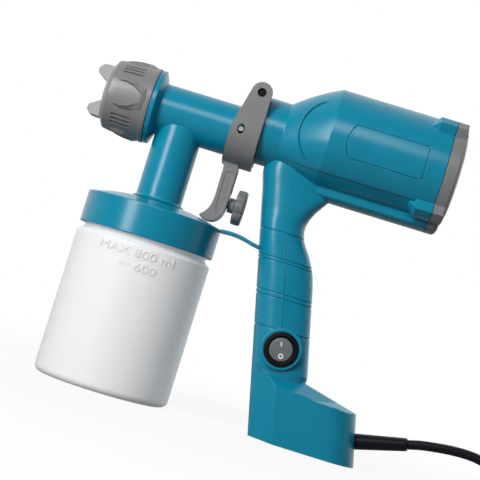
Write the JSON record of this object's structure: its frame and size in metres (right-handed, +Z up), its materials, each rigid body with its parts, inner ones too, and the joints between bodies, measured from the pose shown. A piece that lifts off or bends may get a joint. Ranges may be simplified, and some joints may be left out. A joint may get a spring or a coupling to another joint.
{
  "type": "handheld paint sprayer",
  "caption": "Handheld electric paint sprayer with a screw-on paint cup under its barrel, a yoke trigger with a flow knob, a round rocker switch and a mains cord.",
  "frame": {"origin": "on the floor, at the middle of the bounding box of the sprayer without its cord", "axes": "-X is the way it sprays and +X its rear, +Z is up, and the switch is on the -Y side"},
  "size_m": [0.5147, 0.1233, 0.2623],
  "materials": {
    "blue_plastic": "satin",
    "grey_plastic": "matte",
    "light_grey_plastic": "matte",
    "dark_grey_plastic": "matte",
    "black_plastic": "satin",
    "white_plastic": "satin",
    "steel": "satin",
    "brass": "satin",
    "copper": "copper windings on a steel core",
    "black_rubber": "matte",
    "filter_foam": "open foam"
  },
  "bodies": {
    "gun": {"air_filter": "filter_foam", "carbon_brush_1": "black_plastic", "carbon_brush_2": "black_plastic", "cord_coil": "black_rubber", "cord_run": "black_rubber", "cord_tail": "black_rubber", "cover_screw_1": "steel", "cover_screw_2": "steel", "cover_screw_3": "steel", "cover_screw_4": "steel", "cup_bridge": "blue_plastic", "cup_lid": "blue_plastic", "fluid_nozzle": "brass", "front_bearing": "steel", "housing_left": "blue_plastic", "housing_right": "blue_plastic", "motor_front_bracket": "black_plastic", "motor_mount": "black_rubber", "motor_rear_bracket": "black_plastic", "motor_stator": "steel", "needle_seal": "white_plastic", "needle_spring": "steel", "plug_blade_1": "brass", "plug_blade_2": "brass", "plug_body": "black_rubber", "rear_bearing": "steel", "rear_cover": "grey_plastic", "rear_motor_mount": "black_rubber", "shell_screw_1": "steel", "shell_screw_2": "steel", "shell_screw_3": "steel", "shell_screw_4": "steel", "spray_barrel": "blue_plastic", "spring_cap": "black_plastic", "strain_relief": "black_rubber", "switch_body": "black_plastic", "trigger_pin": "black_plastic"},
    "trigger": {"trigger": "grey_plastic"},
    "needle": {"needle": "steel", "needle_cross_pin": "steel"},
    "flow_screw": {"flow_screw": "black_plastic"},
    "flow_knob": {"flow_knob": "dark_grey_plastic"},
    "air_cap": {"air_cap": "light_grey_plastic"},
    "retaining_nut": {"retaining_nut": "grey_plastic"},
    "cup_gasket": {"cup_gasket": "black_rubber"},
    "cup": {"cup": "white_plastic"},
    "suction_tube": {"suction_tube": "white_plastic", "suction_strainer": "white_plastic"},
    "switch_rocker": {"switch_rocker": "grey_plastic"},
    "armature": {"armature": "copper", "impeller": "dark_grey_plastic"}
  },
  "joints": [
    {"name": "trigger_pull", "type": "hinge", "parent": "gun", "child": "trigger", "pos_m": [-0.0156, 0, 0.2391], "axis": [0, -1, 0], "range_deg": [0, 6], "stiffness_Nm_per_rad": 1.7, "springref_deg": -8.02},
    {"name": "needle_slide", "type": "slide", "parent": "gun", "child": "needle", "axis": [1, 0, 0], "range_m": [0, 0.0031], "deforming": ["needle_spring"]},
    {"name": "flow_screw_slide", "type": "slide", "parent": "trigger", "child": "flow_screw", "axis": [1, 0, 0], "range_m": [0, 0.002]},
    {"name": "flow_knob_turn", "type": "hinge", "parent": "flow_screw", "child": "flow_knob", "pos_m": [-0.008, 0, 0.1563], "axis": [1, 0, 0], "range_deg": [0, 360]},
    {"name": "air_cap_turn", "type": "hinge", "parent": "gun", "child": "air_cap", "pos_m": [-0.122, 0, 0.2097], "axis": [1, 0, 0], "range_deg": [-90, 90]},
    {"name": "retaining_nut_turn", "type": "hinge", "parent": "gun", "child": "retaining_nut", "pos_m": [-0.105, 0, 0.2097], "axis": [-1, 0, 0], "range_deg": [0, 180]},
    {"name": "cup_drop", "type": "slide", "parent": "gun", "child": "cup_gasket", "axis": [0, 0, -1], "range_m": [0, 0.125]},
    {"name": "cup_turn", "type": "hinge", "parent": "cup_gasket", "child": "cup", "pos_m": [-0.0666, 0, 0.06], "axis": [0, 0, -1], "range_deg": [0, 300]},
    {"name": "suction_tube_turn", "type": "hinge", "parent": "gun", "child": "suction_tube", "pos_m": [-0.0666, 0, 0.13], "axis": [0, 0, 1], "range_deg": [-180, 180]},
    {"name": "switch_rock", "type": "hinge", "parent": "gun", "child": "switch_rocker", "pos_m": [0.05166, -0.018, 0.06668], "axis": [-0.9715, 0, -0.2368], "range_deg": [0, 16]},
    {"name": "armature_spin", "type": "hinge", "parent": "gun", "child": "armature", "pos_m": [0.07, 0, 0.2234], "axis": [1, 0, 0], "continuous": true}
  ],
  "couplings": [
    {"joint": "needle_slide", "follows": "trigger_pull", "m_per_rad": 0.0294},
    {"joint": "flow_knob_turn", "follows": "flow_screw_slide", "rad_per_m": 3141.6}
  ]
}
